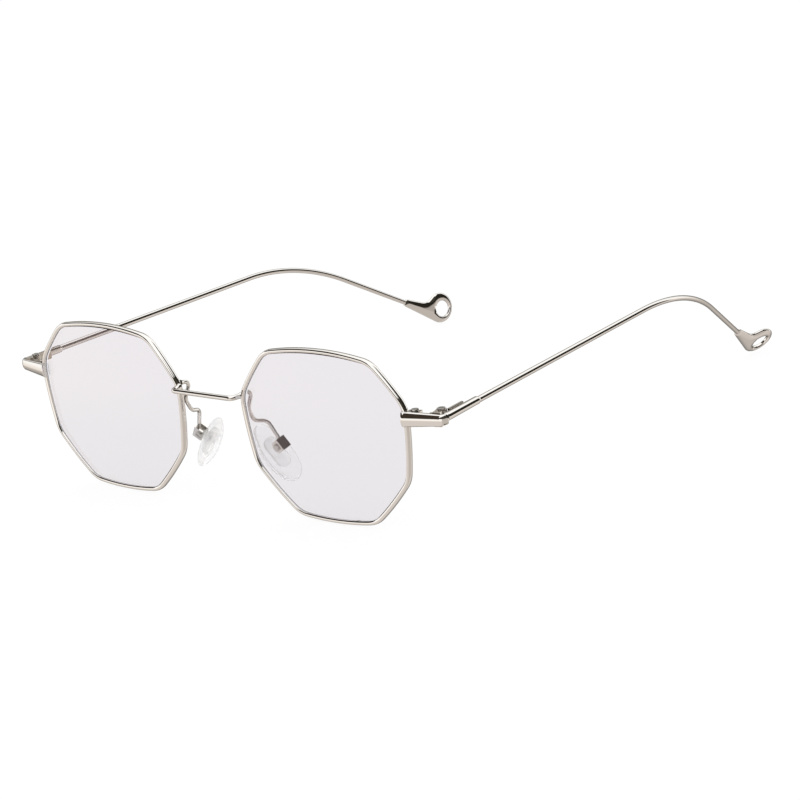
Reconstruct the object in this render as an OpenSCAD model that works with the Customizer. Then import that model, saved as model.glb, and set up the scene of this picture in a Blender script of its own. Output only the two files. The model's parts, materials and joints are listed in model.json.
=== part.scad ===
// Octagonal full-rim wire glasses with folding temples and rocking nose pads.
// Millimetres. +X is the wearer's left, +Y runs back along the temples, +Z is up.
// The front is drawn upright about the middle of the rims, with y = 0 at the front face of the
// rims, and the whole pair is then set down on the bottoms of its rims and on its temple tips.

/* [Rims] */
// Width of one rim across its upper side corners
rim_w = 49; // [46:0.5:52]
// Width of one rim across its lower side corners
rim_low_w = 45.2; // [43:0.2:47]
// Length of the rim's top side, corner to corner
rim_top_w = 31.4; // [29:0.2:34]
// Length of the rim's bottom side, corner to corner
rim_bottom_w = 22.8; // [20:0.2:26]
// Height of the top side above the middle of the rim
rim_top_z = 19.2; // [18:0.2:21]
// Depth of the bottom side below the middle of the rim
rim_bottom_z = 19.6; // [18:0.2:21]
// Height of the upper side corners above the middle of the rim
rim_upper_z = 8.8; // [7.8:0.2:10]
// How much lower the nasal upper corner sits than the outer one
rim_nasal_drop = 1.3; // [0:0.1:2]
// Depth of the lower side corners below the middle of the rim
rim_lower_z = 8.4; // [7.4:0.2:9.4]
// Radius to which each of the eight sides is bowed outward
side_bow_r = 80; // [70:5:120]
// Outer radius of the eight rounded corners
corner_r = 7.4; // [6:0.2:8]
// Width of the rim wire, seen from the front
rim_t = 1; // [0.9:0.05:1.2]
// Depth of the rim wire, front to back
rim_depth = 1.6; // [1.4:0.1:2.2]
// Chamfer that rounds the rim wire's edges
rim_edge = 0.2; // [0.1:0.05:0.25]
// Gap between the two rims at their upper nasal corners
nose_gap = 19.6; // [17:0.2:23]
// Angle by which each rim is turned back from the middle
face_wrap = 2.3; // [0:0.1:4]

/* [Lenses] */
// Width of the groove that holds the lens
groove_w = 0.5; // [0.4:0.05:0.6]
// Depth of the groove into the rim wire
groove_d = 0.35; // [0.25:0.05:0.45]
// Thickness of the lens
lens_t = 1.5; // [1.2:0.1:1.8]
// Radius of the lens's front surface
lens_r = 260; // [220:10:400]
// Play between the lens and its rim
lens_play = 0.05; // [0.03:0.01:0.08]

/* [Bridge] */
// Diameter of the bridge wire
bridge_d = 1.2; // [1:0.1:1.5]
// Height of the bridge above the middle of the rims
bridge_z = 7.8; // [6.5:0.1:8.4]
// How far the bridge stands in front of the rims
bridge_fwd = 2.3; // [1.6:0.1:3]
// Length of the straight middle of the bridge
bridge_mid = 19; // [17:0.2:19.4]
// Bend radius of the bridge wire
bridge_bend_r = 1.3; // [1.1:0.1:1.5]

/* [End pieces] */
// Height of the end piece where it meets the rim
end_h = 3.7; // [3.2:0.1:4.2]
// Height of the end piece before its corner
end_tip_h = 2.7; // [2.4:0.1:3]
// Thickness of the end piece
end_t = 1.2; // [1:0.1:1.4]
// How far the end piece reaches out past the rim
end_reach = 9.7; // [9:0.1:10.6]
// Outer radius where the end piece turns back
end_corner_r = 1.9; // [1.5:0.1:2.2]
// Height of the end pieces and hinges above the middle of the rims
end_z = 6.7; // [6.2:0.1:7.4]
// Angle by which the end piece sweeps back from the rim
end_sweep = 14; // [8:0.5:16]
// How far the end piece stands in front of the rim
end_proud = 0.7; // [0.6:0.05:0.8]
// Radius of the end piece's crowned face
crown_r = 3.2; // [2.8:0.1:4]

/* [Rim locks] */
// Length of the closing block along X
lock_l = 3.2; // [2.8:0.1:3.6]
// Depth of the closing block
lock_depth = 2; // [1.8:0.1:2.2]
// Height of each half of the closing block
lock_h = 1.4; // [1.3:0.1:1.6]
// Saw cut that splits the rim inside the closing block
lock_cut = 0.2; // [0.15:0.05:0.3]
// Diameter of the closing screw
lock_screw_d = 1.2; // [1:0.1:1.2]

/* [Hinges] */
// Diameter of the hinge barrels
barrel_d = 2.5; // [2.3:0.1:2.6]
// Height of the hinge, all three barrels
hinge_h = 3.4; // [3:0.1:3.8]
// Height of the middle barrel, which belongs to the temple
barrel_mid_h = 1.2; // [1:0.1:1.4]
// Running gap between barrels
barrel_gap = 0.06; // [0.04:0.01:0.1]
// Diameter of the hinge screw
hinge_screw_d = 1.2; // [1:0.1:1.3]
// Radial running clearance around the hinge screw
hinge_play = 0.03; // [0.02:0.01:0.05]
// Thickness of the hinge plates
hinge_plate_t = 0.6; // [0.5:0.05:0.7]
// Length of the temple's hinge plate
hinge_plate_l = 5; // [4:0.2:6]

/* [Temples] */
// Diameter of the temple wire
wire_d = 1.4; // [1.2:0.1:1.6]
// Length of the thick front end of the temple
butt_l = 11.4; // [10:0.2:14]
// Height of the temple's thick front end
butt_h = 1.9; // [1.8:0.1:2.2]
// Thickness of the temple's thick front end
butt_t = 1.6; // [1.5:0.1:1.8]
// Length from the temple's front face to the bend over the ear
straight_l = 75.5; // [65:0.5:85]
// Radius of the bend over the ear
ear_r = 54.5; // [50:0.5:70]
// Angle of the left bend over the ear, as bent by hand
ear_angle_left = 38; // [30:1:40]
// Angle of the right bend over the ear, as bent by hand
ear_angle_right = 34; // [30:1:40]
// Length of the drop behind the ear, up to the tip
drop_l = 20.2; // [16:0.2:24]
// Angle by which each temple leans in towards the other
temple_in = 2.5; // [2:0.1:4]
// Angle by which the left temple slopes down, as set by hand
temple_down_left = -0.9; // [-1.2:0.1:2]
// Angle by which the right temple slopes down, as set by hand
temple_down_right = 0.8; // [-1.2:0.1:2]
// How much higher the wire leaves than the middle of the thick end
wire_rise = 0.5; // [0.4:0.05:0.7]
// Angle by which the bend behind the ear leans in
ear_lean = 22; // [10:1:24]

/* [Temple tips] */
// Thickness of the flat tip
tip_t = 1.3; // [1.2:0.1:1.8]
// Outer radius of the tip's ring
ring_r = 4; // [3.6:0.05:4.4]
// Radius of the round hole in the tip
tip_hole_r = 2.15; // [1.8:0.05:2.3]
// Distance from the wire's end to the middle of the ring
ring_u = 11.6; // [11:0.2:14]
// How much nearer the tip's end the hole lies than the ring's middle
hole_shift = 0.8; // [0:0.1:1]
// Height of the ring's middle above the line of the wire
ring_v = 2.1; // [1.6:0.1:2.4]
// Height of the tip's narrow neck
neck_h = 1.9; // [1.7:0.1:2.1]
// Angle at which the neck widens towards the ring
neck_flare = 8; // [4:1:10]
// Radius of the hollow between neck and ring
instep_r = 3; // [2.4:0.2:4]
// Angle by which the tip turns outward from the wire
tip_turn = -1; // [-3:0.5:3]
// Twist of the left tip about its wire, as bent by hand
tip_twist_left = 24; // [-26:1:26]
// Twist of the right tip about its wire, as bent by hand
tip_twist_right = -17; // [-26:1:26]

/* [Nose pads] */
// Diameter of the pad arm wire
arm_d = 0.9; // [0.8:0.05:1]
// Bend radius of the pad arm
arm_bend_r = 0.85; // [0.75:0.05:0.9]
// Length of a nose pad
pad_l = 15.5; // [13:0.5:16]
// Width of a nose pad at its wide lower end
pad_w = 8; // [7:0.2:8.6]
// Thickness of a nose pad
pad_t = 2.4; // [2.2:0.1:2.8]
// Angle by which the pads stand apart at the bottom
pad_splay = 33; // [26:1:38]
// Angle by which each pad faces back
pad_turn = 2; // [0:1:20]
// Angle by which each pad's foot leans back
pad_lean = 10; // [3:1:14]
// Distance from the pad's middle plane to its screw
pad_screw_x = 2.9; // [2.7:0.1:3.1]
// Diameter of the pad screw
pad_screw_d = 1; // [0.8:0.1:1]
// Radial running clearance around the pad screw
pad_play = 0.03; // [0.02:0.01:0.05]

/* [Hidden] */

SILVER = [0.78, 0.77, 0.75];
STEEL = [0.62, 0.62, 0.63];
CLEAR = [0.93, 0.92, 0.94, 0.35];
PAD = [0.96, 0.96, 0.97, 0.6];

// Small helpers: turns of a point about each axis
function rx(p, a) = [p.x, p.y * cos(a) - p.z * sin(a), p.y * sin(a) + p.z * cos(a)];
function ry(p, a) = [p.x * cos(a) + p.z * sin(a), p.y, p.z * cos(a) - p.x * sin(a)];
function rz(p, a) = [p.x * cos(a) - p.y * sin(a), p.x * sin(a) + p.y * cos(a), p.z];
function unit(v) = v / norm(v);
function angle_of(v) = atan2(v.y, v.x);
function wrap360(a) = a - 360 * floor(a / 360);

// Rim outline: eight bowed sides and eight rounded corners, clockwise from the nasal top corner
rim_cx = nose_gap / 2 + rim_w / 2;
corners = [
  [-rim_top_w / 2, rim_top_z],
  [rim_top_w / 2, rim_top_z],
  [rim_w / 2, rim_upper_z + rim_nasal_drop / 2],
  [rim_low_w / 2, -rim_lower_z],
  [rim_bottom_w / 2, -rim_bottom_z],
  [-rim_bottom_w / 2, -rim_bottom_z],
  [-rim_low_w / 2, -rim_lower_z],
  [-rim_w / 2, rim_upper_z - rim_nasal_drop / 2]
];
function corner(i) = corners[(i + 8) % 8];
function side_len(i) = norm(corner(i + 1) - corner(i));
function side_dir(i) = unit(corner(i + 1) - corner(i));
function side_out(i) = [-side_dir(i).y, side_dir(i).x];
function side_mid(i) = (corner(i) + corner(i + 1)) / 2;
function side_centre(i) =
  side_mid(i) - side_out(i) * sqrt(side_bow_r * side_bow_r - pow(side_len(i) / 2, 2));

// A corner's arc touches both neighbouring sides from inside
function corner_centre(i) =
  let (a = side_centre(i - 1), b = side_centre(i), m = (a + b) / 2, e = unit(b - a))
  let (h = sqrt(pow(side_bow_r - corner_r, 2) - pow(norm(b - a) / 2, 2)), q = [-e.y, e.x])
  m + q * h * sign(q * (corner(i) - m));
function touch_before(i) =
  side_centre(i - 1) + unit(corner_centre(i) - side_centre(i - 1)) * side_bow_r;
function touch_after(i) = side_centre(i) + unit(corner_centre(i) - side_centre(i)) * side_bow_r;

// Each arc is [centre, outer radius, start angle, sweep]
function arc_between(c, r, p, q) =
  let (a = angle_of(q - c), b = angle_of(p - c)) [c, r, a, wrap360(b - a)];
function side_arc(i) =
  arc_between(side_centre(i), side_bow_r, touch_after(i), touch_before(i + 1));
function corner_arc(i) =
  arc_between(corner_centre(i), corner_r, touch_before(i), touch_after(i));
rim_arcs = [for (i = [0:7]) each [corner_arc(i), side_arc(i)]];

// Points of the outline, moved inward by a distance
outline_steps = 5;
function arc_points(arc, inset) = [
  for (k = [0:outline_steps - 1])
    let (a = arc[2] + arc[3] * (1 - k / outline_steps))
    arc[0] + (arc[1] - inset) * [cos(a), sin(a)]
];
function outline(inset) = [for (arc = rim_arcs) each arc_points(arc, inset)];

// Where the rim's outer side stands at a height, before the wrap
function rim_side_x(z) =
  let (i = z > corner(2).y ? 1 : 2, c = side_centre(i))
  rim_cx + c.x + sqrt(side_bow_r * side_bow_r - pow(z - c.y, 2));
wrap_x = nose_gap / 2 + rim_t;
rim_out_x = wrap_x + (rim_side_x(end_z) - wrap_x) * cos(face_wrap);
rim_out_y = (rim_side_x(end_z) - wrap_x) * sin(face_wrap);

// The end piece is a bar that sweeps back from the rim and bends round a corner to the temple
face_y = rim_out_y - end_proud;
bar_dir = [cos(end_sweep), sin(end_sweep)];
bar_in = [-sin(end_sweep), cos(end_sweep)];
bar_l = (end_reach - end_corner_r * (1 - sin(end_sweep))) / cos(end_sweep);
bend_c = [rim_out_x, face_y] + bar_dir * bar_l + bar_in * end_corner_r;
end_x = rim_out_x + end_reach;
end_back_y = bend_c.y;
end_sink = 0.35;
butt_gap = 0.1;
butt_y = end_back_y + butt_gap;
butt_in_x = end_x - butt_t;
module bar_place() {
  translate([rim_out_x, face_y, end_z]) rotate([0, 0, end_sweep]) children();
}

// Closing block, in the bar's frame, and the hinge's axis
lock_screw_x = lock_l / 2 + 0.2;
lock_screw_y = end_t + lock_depth / 2;
head_slot_w = 0.3;
web_l = 0.35;
axis_x = butt_in_x - barrel_d / 2 - 0.2;
axis_y = face_y + (axis_x - rim_out_x) * tan(end_sweep)
  + (end_t + hinge_plate_t + web_l + barrel_d / 2) / cos(end_sweep);
barrel_end_h = (hinge_h - barrel_mid_h) / 2 - barrel_gap;
hinge_low_z = end_z - hinge_h / 2;
hinge_top_z = end_z + hinge_h / 2;

// Bent wire: straight cylinders joined by true arcs of one bend radius. Each straight runs a
// short lap into the bend, and the bend is a hair thicker, so that the two join cleanly.
lap = 0.05;
swell = 0.01;
function bend_angle(pts, i) =
  acos(max(-1, min(1, unit(pts[i] - pts[i - 1]) * unit(pts[i + 1] - pts[i]))));
function is_bend(pts, i) = i > 0 && i < len(pts) - 1;
function bend_trim(pts, i, r) = is_bend(pts, i) ? r * tan(bend_angle(pts, i) / 2) - lap : 0;
module along(a, b) {
  d = b - a;
  translate(a)
    rotate([0, acos(d.z / norm(d)), atan2(d.y, d.x)])
      children();
}
module bent_wire(pts, d, r, steps = 64) {
  for (i = [0:len(pts) - 2]) {
    u = unit(pts[i + 1] - pts[i]);
    a = pts[i] + u * bend_trim(pts, i, r);
    b = pts[i + 1] - u * bend_trim(pts, i + 1, r);
    along(a, b) cylinder(d = d, h = norm(b - a), $fn = 24);
  }
  for (i = [1:len(pts) - 2]) {
    u = unit(pts[i] - pts[i - 1]);
    v = unit(pts[i + 1] - pts[i]);
    n = unit(cross(u, v));
    inward = cross(n, u);
    c = pts[i] - u * (bend_trim(pts, i, r) + lap) + inward * r;
    multmatrix([
      [-inward.x, u.x, n.x, c.x],
      [-inward.y, u.y, n.y, c.y],
      [-inward.z, u.z, n.z, c.z],
      [0, 0, 0, 1]
    ])
      rotate_extrude(angle = bend_angle(pts, i), $fn = steps)
        translate([r, 0]) circle(d = d + 2 * swell, $fn = 24);
  }
}

// Slotted cheese-head screw standing on z = 0 with its shank below
module screw(d, shank, head_d, head_h) {
  difference() {
    union() {
      translate([0, 0, -shank]) cylinder(d = d, h = shank, $fn = 32);
      cylinder(d = head_d, h = head_h, $fn = 40);
    }
    translate([-head_d, -head_slot_w / 2, head_h / 2]) cube([head_d * 2, head_slot_w, head_h]);
  }
}

// Temple frame: origin at the temple's front face, +Y along its wire
butt_x = end_x - butt_t / 2;
butt_crown_r = 1.6;
joint_rise = 0.4;
wire_seat = 0.7;
function down(side) = side == "left" ? temple_down_left : temple_down_right;
function ear_angle(side) = side == "left" ? ear_angle_left : ear_angle_right;
function tip_twist(side) = side == "left" ? tip_twist_left : tip_twist_right;
function temple_pt(p, side) =
  rz(rx(p, -down(side)), temple_in) + [butt_x, butt_y, end_z];
module temple_place(side) {
  translate([butt_x, butt_y, end_z]) rotate([-down(side), 0, temple_in]) children();
}
// Frame at the end of the wire, with +Y along the last stretch
function wire_end(side) =
  let (a = ear_angle(side))
  [0, straight_l + ear_r * sin(a) + drop_l * cos(a), -ear_r * (1 - cos(a)) - drop_l * sin(a)];
function in_drop(p, side) = rx(ry(rz(p, -tip_turn), tip_twist(side)), -ear_angle(side));
function tip_pt(p, side) =
  temple_pt([0, 0, wire_rise] + ry(wire_end(side) + in_drop(p, side), ear_lean), side);
module tip_place(side) {
  temple_place(side)
    translate([0, 0, wire_rise])
      rotate([0, ear_lean, 0])
        translate(wire_end(side))
          rotate([-ear_angle(side), 0, 0])
            rotate([0, tip_twist(side), 0])
              rotate([0, 0, -tip_turn])
                children();
}

// Where the pair touches the table: the rims' bottoms and the lower edge of the lower tip
ring_c = [0, ring_u, ring_v];
hole_c = ring_c + [0, hole_shift, 0];
function tip_normal(side) = unit(tip_pt(ring_c + [1, 0, 0], side) - tip_pt(ring_c, side));
function disc_reach(n) = ring_r * sqrt(1 - n * n) + tip_t / 2 * abs(n);
function tip_low(side) =
  let (c = tip_pt(ring_c, side)) [c.y, c.z - disc_reach(tip_normal(side).z)];
function tip_back(side) = tip_pt(ring_c, side).y + disc_reach(tip_normal(side).y);
low_left = tip_low("left");
low_right = tip_low("right");
low_tip = low_left[1] < low_right[1] ? low_left : low_right;
rim_low_z = side_centre(4).y - side_bow_r;
rest_tilt = atan((rim_low_z - low_tip[1]) / low_tip[0]);
rest_lift = -rim_low_z * cos(rest_tilt);
back_y = max(tip_back("left"), tip_back("right"));
front_y = -bridge_fwd - bridge_d / 2;
mid_y = (front_y + back_y) / 2 + rest_lift * sin(rest_tilt) / 2;
module rest() {
  translate([0, -mid_y, rest_lift]) rotate([rest_tilt, 0, 0]) children();
}
module on_side(side) {
  if (side == "left") rest() children();
  else rest() mirror([1, 0, 0]) children();
}

// Rim and lens share one flat frame that the wrap turns back
module rim_place() {
  translate([wrap_x, 0, 0])
    rotate([0, 0, face_wrap])
      translate([rim_cx - wrap_x, 0, 0])
        rotate([90, 0, 0])
          children();
}
// Section of the rim wire; the corners' section is a hair larger, so that sides and corners join
module rim_section(grow) {
  e = rim_edge;
  front = grow;
  back = -rim_depth - grow;
  outer = grow;
  inner = -rim_t - grow;
  floor = groove_d - rim_t - grow;
  g0 = -(rim_depth + groove_w) / 2 + grow;
  g1 = -(rim_depth - groove_w) / 2 - grow;
  polygon([
    [outer - e, front], [outer, front - e], [outer, back + e], [outer - e, back],
    [inner + e, back], [inner, back + e],
    [inner, g0], [floor, g0], [floor, g1], [inner, g1],
    [inner, front - e], [inner + e, front]
  ]);
}
module rim_arc(arc, grow, extra) {
  a = arc[2] - extra;
  translate([arc[0].x, arc[0].y, 0])
    rotate([0, 0, a])
      rotate_extrude(angle = arc[3] + extra * 2, $fn = arc[1] > corner_r ? 96 : 64)
        translate([arc[1], 0]) rim_section(grow);
}
module rim(side) {
  lap_angle = lap / side_bow_r * 180 / PI;
  color(SILVER)
    on_side(side)
      difference() {
        rim_place() {
          for (i = [0:7]) rim_arc(side_arc(i), 0, lap_angle);
          for (i = [0:7]) rim_arc(corner_arc(i), swell, 0);
        }
        translate([rim_out_x - 3, rim_out_y - 2, end_z - lock_cut / 2]) cube([6, 6, lock_cut]);
      }
}
module lens(side) {
  body_inset = rim_t + lens_play;
  tongue_inset = rim_t - groove_d + lens_play;
  tongue_t = groove_w - 2 * lens_play;
  crown = lens_r - sqrt(lens_r * lens_r - pow(rim_top_z, 2));
  color(CLEAR)
    on_side(side)
      rim_place() {
        intersection() {
          translate([0, 0, -rim_depth]) linear_extrude(rim_depth * 3) polygon(outline(body_inset));
          translate([0, 0, crown - rim_depth / 2 + lens_t / 2 - lens_r])
            difference() {
              sphere(lens_r, $fn = 300);
              sphere(lens_r - lens_t, $fn = 300);
            }
        }
        translate([0, 0, -(rim_depth + tongue_t) / 2])
          linear_extrude(tongue_t)
            difference() {
              polygon(outline(tongue_inset));
              polygon(outline(body_inset + rim_t));
            }
      }
}

module bridge() {
  x_end = nose_gap / 2 + rim_t * 0.3;
  y_end = rim_depth / 3;
  color(SILVER)
    rest()
      bent_wire([
        [-x_end, y_end, bridge_z], [-bridge_mid / 2, -bridge_fwd, bridge_z],
        [bridge_mid / 2, -bridge_fwd, bridge_z], [x_end, y_end, bridge_z]
      ], bridge_d, bridge_bend_r);
}

// The end piece: a crowned bar and its corner, tapered in height and cut to thickness behind
module end_piece_crown() {
  bar_place()
    intersection() {
      translate([-rim_t, -1, -end_h]) cube([rim_t + bar_l + lap, end_t + 2, end_h * 2]);
      translate([-rim_t - 1, crown_r, 0])
        rotate([0, 90, 0]) cylinder(r = crown_r, h = rim_t + bar_l + 2, $fn = 96);
    }
  translate([bend_c.x, bend_c.y, end_z])
    rotate([0, 0, end_sweep - 90])
      rotate_extrude(angle = 90 - end_sweep, $fn = 96)
        intersection() {
          translate([0.1, -end_h]) square([end_corner_r + 1, end_h * 2]);
          translate([end_corner_r - crown_r, 0]) circle(crown_r + swell, $fn = 96);
        }
}
module end_piece_taper() {
  x0 = rim_out_x - rim_t - 1;
  x1 = end_x - end_corner_r * (1 - sin(end_sweep));
  h0 = end_h / 2;
  h1 = end_tip_h / 2;
  top = joint_rise + butt_h / 2;
  low = joint_rise - butt_h / 2;
  translate([0, 20, end_z])
    rotate([90, 0, 0])
      linear_extrude(40)
        polygon([
          [x0, -h0], [x1, -h1], [end_x, low], [end_x + 1, low],
          [end_x + 1, top], [end_x, top], [x1, h1], [x0, h0]
        ]);
}
// What lies behind the bar and inside the corner
module end_piece_hollow() {
  back_y0 = face_y + end_t / cos(end_sweep);
  x0 = rim_out_x - 5;
  translate([0, 0, end_z - end_h])
    linear_extrude(end_h * 2)
      polygon([
        [x0, back_y0 - 5 * tan(end_sweep)],
        [butt_in_x, back_y0 + (butt_in_x - rim_out_x) * tan(end_sweep)],
        [butt_in_x, end_back_y + 2], [x0, end_back_y + 2]
      ]);
}
// The step that seats the end piece on the rim's front and side
module rim_seat() {
  seat_x = rim_side_x(end_z) - rim_cx - end_sink;
  rim_place() translate([seat_x - 6, end_z - 6, -8]) cube([6, 12, 8]);
}
module end_piece(side) {
  color(SILVER)
    on_side(side)
      difference() {
        intersection() {
          end_piece_crown();
          end_piece_taper();
        }
        end_piece_hollow();
        rim_seat();
      }
}

module lock_block() {
  difference() {
    translate([0, end_t, 0]) cube([lock_l, lock_depth, lock_h]);
    translate([lock_screw_x, lock_screw_y, -1]) cylinder(d = lock_screw_d, h = lock_h + 2, $fn = 32);
  }
}
module lock_upper(side) {
  color(SILVER) on_side(side) bar_place() translate([0, 0, lock_cut / 2]) lock_block();
}
module lock_lower(side) {
  color(SILVER) on_side(side) bar_place() translate([0, 0, -lock_cut / 2 - lock_h]) lock_block();
}
module lock_screw(side) {
  color(STEEL)
    on_side(side)
      bar_place()
        translate([lock_screw_x, lock_screw_y, lock_cut / 2 + lock_h])
          screw(lock_screw_d, lock_h * 2 + lock_cut, 1.8, 0.5);
}

module barrel(z, h) {
  translate([axis_x, axis_y, z]) cylinder(d = barrel_d, h = h, $fn = 40);
}
module hinge_bore(r) {
  translate([axis_x, axis_y, hinge_low_z - 1]) cylinder(r = r, h = hinge_h + 2, $fn = 40);
}
module hinge_front(side) {
  r = barrel_d / 2;
  plate_v = r + web_l + hinge_plate_t;
  color(STEEL)
    on_side(side)
      difference() {
        union() {
          for (z = [hinge_low_z, hinge_top_z - barrel_end_h]) barrel(z, barrel_end_h);
          translate([axis_x, axis_y, 0])
            rotate([0, 0, end_sweep]) {
              translate([-r - 0.6, -plate_v, hinge_low_z + 0.2])
                cube([r * 1.3 + 0.6, hinge_plate_t, hinge_h - 0.4]);
              for (z = [hinge_low_z, hinge_top_z - barrel_end_h])
                translate([-r * 0.9, -plate_v, z]) cube([r * 1.5, plate_v, barrel_end_h]);
            }
        }
        hinge_bore(hinge_screw_d / 2);
      }
}
module hinge_rear(side) {
  r = barrel_d / 2;
  mid_z = end_z - barrel_mid_h / 2;
  plate_h = butt_h + 0.4;
  color(STEEL)
    on_side(side)
      difference() {
        union() {
          barrel(mid_z, barrel_mid_h);
          translate([axis_x, axis_y, mid_z])
            cube([butt_in_x - axis_x - hinge_plate_t, r + 0.6, barrel_mid_h]);
          translate([butt_in_x - hinge_plate_t, axis_y - r + 0.35, mid_z])
            cube([hinge_plate_t, r * 2, barrel_mid_h]);
          temple_place(side)
            translate([-butt_t / 2 - hinge_plate_t, axis_y + r - butt_y, joint_rise - plate_h / 2])
              cube([hinge_plate_t, hinge_plate_l, plate_h]);
        }
        hinge_bore(hinge_screw_d / 2 + hinge_play);
      }
}
module hinge_screw(side) {
  color(STEEL)
    on_side(side)
      translate([axis_x, axis_y, hinge_top_z]) screw(hinge_screw_d, hinge_h, 1.9, 0.35);
}

// The crowned thick front end rises from the hinge and tapers down to the wire
module temple_butt(side) {
  half = butt_h / 2;
  end_half = wire_d / 2 + 0.15;
  climb = atan((wire_rise - joint_rise) / butt_l);
  color(SILVER)
    on_side(side)
      temple_place(side)
        difference() {
          intersection() {
            translate([butt_t, 0, 0])
              rotate([0, -90, 0])
                linear_extrude(butt_t * 1.5)
                  polygon([
                    [joint_rise - half, 0], [joint_rise + half, 0],
                    [wire_rise + end_half, butt_l], [wire_rise - end_half, butt_l]
                  ]);
            translate([butt_t / 2 - butt_crown_r, 0, joint_rise])
              rotate([climb - 90, 0, 0])
                translate([0, 0, -2]) cylinder(r = butt_crown_r, h = butt_l + 4, $fn = 96);
          }
          translate([0, butt_l * wire_seat, wire_rise])
            rotate([-90, 0, 0]) cylinder(d = wire_d, h = butt_l, $fn = 32);
        }
}
module temple_wire(side) {
  over_ear = straight_l + ear_r * tan(ear_angle(side) / 2);
  color(SILVER)
    on_side(side)
      temple_place(side)
        translate([0, 0, wire_rise])
          bent_wire(
            [[0, butt_l * wire_seat, 0], [0, over_ear, 0], ry(wire_end(side), ear_lean)],
            wire_d, ear_r, steps = 240
          );
}
module tip_plan() {
  centre = [ring_u, ring_v];
  // The lower edge runs straight from the neck and touches the ring
  heel = [0, -neck_h / 2];
  far = norm(centre - heel);
  slope = angle_of(centre - heel) - asin(ring_r / far);
  sole = heel + sqrt(far * far - ring_r * ring_r) * [cos(slope), sin(slope)];
  // The upper edge flares; the hollow's circle touches both that edge and the ring
  collar = [0, neck_h / 2];
  run = [cos(neck_flare), sin(neck_flare)];
  rise = [-sin(neck_flare), cos(neck_flare)];
  reach = ring_r + instep_r;
  fill_v = instep_r - (centre - collar) * rise;
  fill_u = (centre - collar) * run - sqrt(reach * reach - fill_v * fill_v);
  fill = collar + run * fill_u + rise * instep_r;
  touch = centre + unit(fill - centre) * ring_r;
  difference() {
    union() {
      translate(centre) circle(ring_r, $fn = 96);
      difference() {
        polygon([heel, sole, centre, touch, fill, collar + run * fill_u, collar]);
        translate(fill) circle(instep_r, $fn = 96);
      }
    }
    translate(centre + [hole_shift, 0]) circle(tip_hole_r, $fn = 96);
  }
}
module temple_tip(side) {
  color(SILVER)
    on_side(side)
      tip_place(side)
        translate([-tip_t / 2, 0, 0])
          rotate([90, 0, 90])
            linear_extrude(tip_t) tip_plan();
}

// Nose pad frame: +X towards the pad arm, Z along the pad, its top up
pad_c = [nose_gap / 2 + 1.2, rim_depth + 7.03, -8.4];
pad_screw_z = 0.8;
function pad_pt(p) = rx(ry(rz(p, -pad_turn), -pad_splay), pad_lean) + pad_c;
module pad_place() {
  translate(pad_c) rotate([pad_lean, 0, 0]) rotate([0, -pad_splay, 0]) rotate([0, 0, -pad_turn]) children();
}
box_w = 2.5;
box_wall = 0.5;
box_l = 2.9;
box_front = 0.75;
box_back = 1.7;
tab_t = box_w - 2 * box_wall - 0.14;
tab_r = 0.95;
core_t = 0.7;
core_w = 4;
core_l = 8;
core_x = pad_t / 2 - 0.5 - core_t;

// Pad arm: from the back of the rim, round a spring loop, down to the pad box
arm_points = [
  [nose_gap / 2 + 0.6, rim_depth - 0.2, rim_upper_z - 0.3],
  [nose_gap / 2 + 0.6, rim_depth + 2.7, rim_upper_z - 0.9],
  [nose_gap / 2 + 0.8, rim_depth + 0.6, rim_upper_z - 4.6],
  [nose_gap / 2 + 0.7, rim_depth + 2, rim_upper_z - 7.8],
  [nose_gap / 2 + 1.6, rim_depth + 5.3, rim_upper_z - 8.8],
  pad_pt([pad_screw_x + box_back - 0.5, 0, pad_screw_z + box_l / 2 - 0.3])
];
module pad_arm(side) {
  color(SILVER) on_side(side) bent_wire(arm_points, arm_d, arm_bend_r);
}
module pad_box(side) {
  color(SILVER)
    on_side(side)
      pad_place()
        translate([pad_screw_x, 0, pad_screw_z])
          difference() {
            translate([-box_front, -box_w / 2, -box_l / 2]) cube([box_front + box_back, box_w, box_l]);
            translate([-box_front - 1, -box_w / 2 + box_wall, -box_l])
              cube([box_front + 1 + box_back - box_wall, box_w - 2 * box_wall, box_l * 2]);
            rotate([90, 0, 0]) cylinder(d = pad_screw_d, h = box_w * 2, center = true, $fn = 32);
          }
}
module pad_screw(side) {
  color(STEEL)
    on_side(side)
      pad_place()
        translate([pad_screw_x, -box_w / 2, pad_screw_z])
          rotate([90, 0, 0]) screw(pad_screw_d, box_w, 1.7, 0.4);
}
module core_solid() {
  translate([core_x, 0, 0])
    rotate([90, 0, 90])
      linear_extrude(core_t)
        union() {
          for (z = [-1, 1])
            translate([0, z * (core_l - core_w) / 2]) circle(d = core_w, $fn = 48);
          square([core_w, core_l - core_w], center = true);
        }
  translate([core_x, -tab_t / 2, pad_screw_z - tab_r]) cube([pad_screw_x - core_x, tab_t, tab_r * 2]);
  translate([pad_screw_x, tab_t / 2, pad_screw_z])
    rotate([90, 0, 0]) cylinder(r = tab_r, h = tab_t, $fn = 40);
}
module pad_core(side) {
  color(CLEAR)
    on_side(side)
      pad_place()
        difference() {
          core_solid();
          translate([pad_screw_x, 0, pad_screw_z])
            rotate([90, 0, 0]) cylinder(r = pad_screw_d / 2 + pad_play, h = box_w, center = true, $fn = 32);
        }
}
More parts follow.
